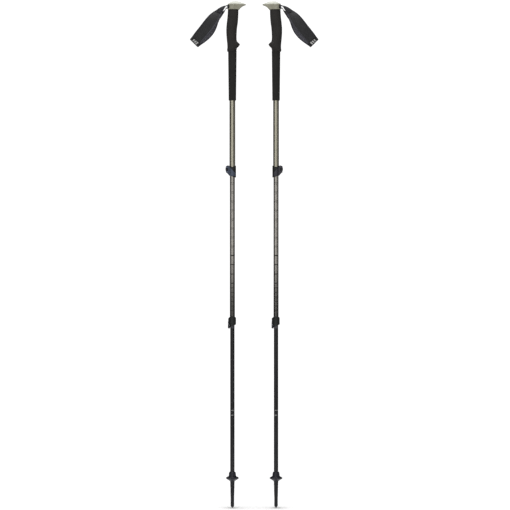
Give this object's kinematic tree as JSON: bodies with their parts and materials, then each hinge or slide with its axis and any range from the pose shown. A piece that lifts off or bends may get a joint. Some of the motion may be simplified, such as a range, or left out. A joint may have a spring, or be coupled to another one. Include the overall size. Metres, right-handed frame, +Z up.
{
  "type": "trekking poles",
  "caption": "Pair of telescoping trekking poles with lever locks, foam grips, padded wrist straps, trekking baskets and hard tips, set side by side at full length.",
  "frame": {"origin": "on the ground, midway between the two tips", "axes": "+Z up along the poles, +X from the left pole to the right pole, -Y is the front, the side the upper levers wrap round"},
  "size_m": [0.3572, 0.0393, 1.404],
  "materials": {
    "pommel_plastic": "olive-cream moulded plastic, satin",
    "pommel_soft": "light cream soft-touch overmould",
    "steel": "zinc-plated steel",
    "black_plastic": "black moulded plastic",
    "strap_webbing": "woven nylon webbing, charcoal",
    "strap_fabric": "close-woven charcoal fabric",
    "strap_lining": "brushed purple-grey lining",
    "strap_patch": "smooth black patch with a pale printed mark",
    "grip_foam": "closed-cell foam, fine matt grain",
    "champagne_tube": "champagne-olive anodised, satin gloss",
    "grey_tube": "silver-grey anodised fading to dark grey, printed scale",
    "black_tube": "black anodised, satin gloss",
    "lock_plastic": "glass-filled nylon, charcoal",
    "upper_lever": "forged and anodised, slate",
    "lower_lever": "forged and anodised, dark grey",
    "tip_plastic": "black tip plastic",
    "basket_plastic": "flexible black basket plastic",
    "carbide": "sintered carbide, dark"
  },
  "bodies": {
    "left_upper_section": {"left_grip_head": "pommel_plastic", "left_pommel_pad": "pommel_soft", "left_strap_pin": "steel", "left_strap_wedge": "black_plastic", "left_grip_core": "black_plastic", "left_grip_foam": "grip_foam", "left_grip_extension": "grip_foam", "left_upper_shaft": "champagne_tube", "left_upper_clamp": "lock_plastic", "left_upper_lever_pin": "steel", "left_upper_clamp_screw": "steel", "left_upper_clamp_nut": "steel"},
    "left_strap": {"left_strap_webbing": "strap_webbing", "left_strap_band": "strap_fabric", "left_strap_lining": "strap_lining", "left_strap_end_patch": "strap_patch"},
    "left_upper_lock_lever": {"left_upper_lever": "upper_lever"},
    "left_middle_section": {"left_middle_shaft": "grey_tube", "left_middle_plug": "black_plastic", "left_lower_clamp": "lock_plastic", "left_lower_lever_pin": "steel", "left_lower_clamp_screw": "steel", "left_lower_clamp_nut": "steel"},
    "left_lower_lock_lever": {"left_lower_lever": "lower_lever"},
    "left_lower_section": {"left_lower_shaft": "black_tube", "left_lower_plug": "black_plastic", "left_tip_ferrule": "tip_plastic", "left_carbide_tip": "carbide"},
    "left_basket_section": {"left_basket": "basket_plastic"},
    "right_upper_section": {"right_grip_head": "pommel_plastic", "right_pommel_pad": "pommel_soft", "right_strap_pin": "steel", "right_strap_wedge": "black_plastic", "right_grip_core": "black_plastic", "right_grip_foam": "grip_foam", "right_grip_extension": "grip_foam", "right_upper_shaft": "champagne_tube", "right_upper_clamp": "lock_plastic", "right_upper_lever_pin": "steel", "right_upper_clamp_screw": "steel", "right_upper_clamp_nut": "steel"},
    "right_strap": {"right_strap_webbing": "strap_webbing", "right_strap_band": "strap_fabric", "right_strap_lining": "strap_lining", "right_strap_end_patch": "strap_patch"},
    "right_upper_lock_lever": {"right_upper_lever": "upper_lever"},
    "right_middle_section": {"right_middle_shaft": "grey_tube", "right_middle_plug": "black_plastic", "right_lower_clamp": "lock_plastic", "right_lower_lever_pin": "steel", "right_lower_clamp_screw": "steel", "right_lower_clamp_nut": "steel"},
    "right_lower_lock_lever": {"right_lower_lever": "lower_lever"},
    "right_lower_section": {"right_lower_shaft": "black_tube", "right_lower_plug": "black_plastic", "right_tip_ferrule": "tip_plastic", "right_carbide_tip": "carbide"},
    "right_basket_section": {"right_basket": "basket_plastic"}
  },
  "joints": [
    {"name": "left_strap_swing", "type": "hinge", "parent": "left_upper_section", "child": "left_strap", "pos_m": [-0.072, 0, 1.388], "axis": [0, 1, 0], "range_deg": [-20, 20]},
    {"name": "left_upper_lever_swing", "type": "hinge", "parent": "left_upper_section", "child": "left_upper_lock_lever", "pos_m": [-0.0757, -0.00745, 0.933], "axis": [0, 0, -1], "range_deg": [0, 110]},
    {"name": "left_middle_slide", "type": "slide", "parent": "left_upper_section", "child": "left_middle_section", "axis": [0, 0, 1], "range_m": [0, 0.378]},
    {"name": "left_lower_lever_swing", "type": "hinge", "parent": "left_middle_section", "child": "left_lower_lock_lever", "pos_m": [-0.06795, 0.0152, 0.511], "axis": [0, 0, -1], "range_deg": [0, 110]},
    {"name": "left_lower_slide", "type": "slide", "parent": "left_middle_section", "child": "left_lower_section", "axis": [0, 0, 1], "range_m": [0, 0.39]},
    {"name": "left_basket_turn", "type": "hinge", "parent": "left_lower_section", "child": "left_basket_section", "pos_m": [-0.0605, 0, 0.088], "axis": [0, 0, 1], "range_deg": [0, 90]},
    {"name": "right_strap_swing", "type": "hinge", "parent": "right_upper_section", "child": "right_strap", "pos_m": [0.072, 0, 1.388], "axis": [0, -1, 0], "range_deg": [-20, 20]},
    {"name": "right_upper_lever_swing", "type": "hinge", "parent": "right_upper_section", "child": "right_upper_lock_lever", "pos_m": [0.0757, -0.00745, 0.933], "axis": [0, 0, 1], "range_deg": [0, 110]},
    {"name": "right_middle_slide", "type": "slide", "parent": "right_upper_section", "child": "right_middle_section", "axis": [0, 0, 1], "range_m": [0, 0.378]},
    {"name": "right_lower_lever_swing", "type": "hinge", "parent": "right_middle_section", "child": "right_lower_lock_lever", "pos_m": [0.05305, 0.0152, 0.511], "axis": [0, 0, -1], "range_deg": [0, 110]},
    {"name": "right_lower_slide", "type": "slide", "parent": "right_middle_section", "child": "right_lower_section", "axis": [0, 0, 1], "range_m": [0, 0.39]},
    {"name": "right_basket_turn", "type": "hinge", "parent": "right_lower_section", "child": "right_basket_section", "pos_m": [0.0605, 0, 0.088], "axis": [0, 0, 1], "range_deg": [0, 90]},
    {"name": "pole_spacing", "type": "slide", "parent": "left_upper_section", "child": "right_upper_section", "axis": [1, 0, 0], "range_m": [0, 0.3]}
  ]
}
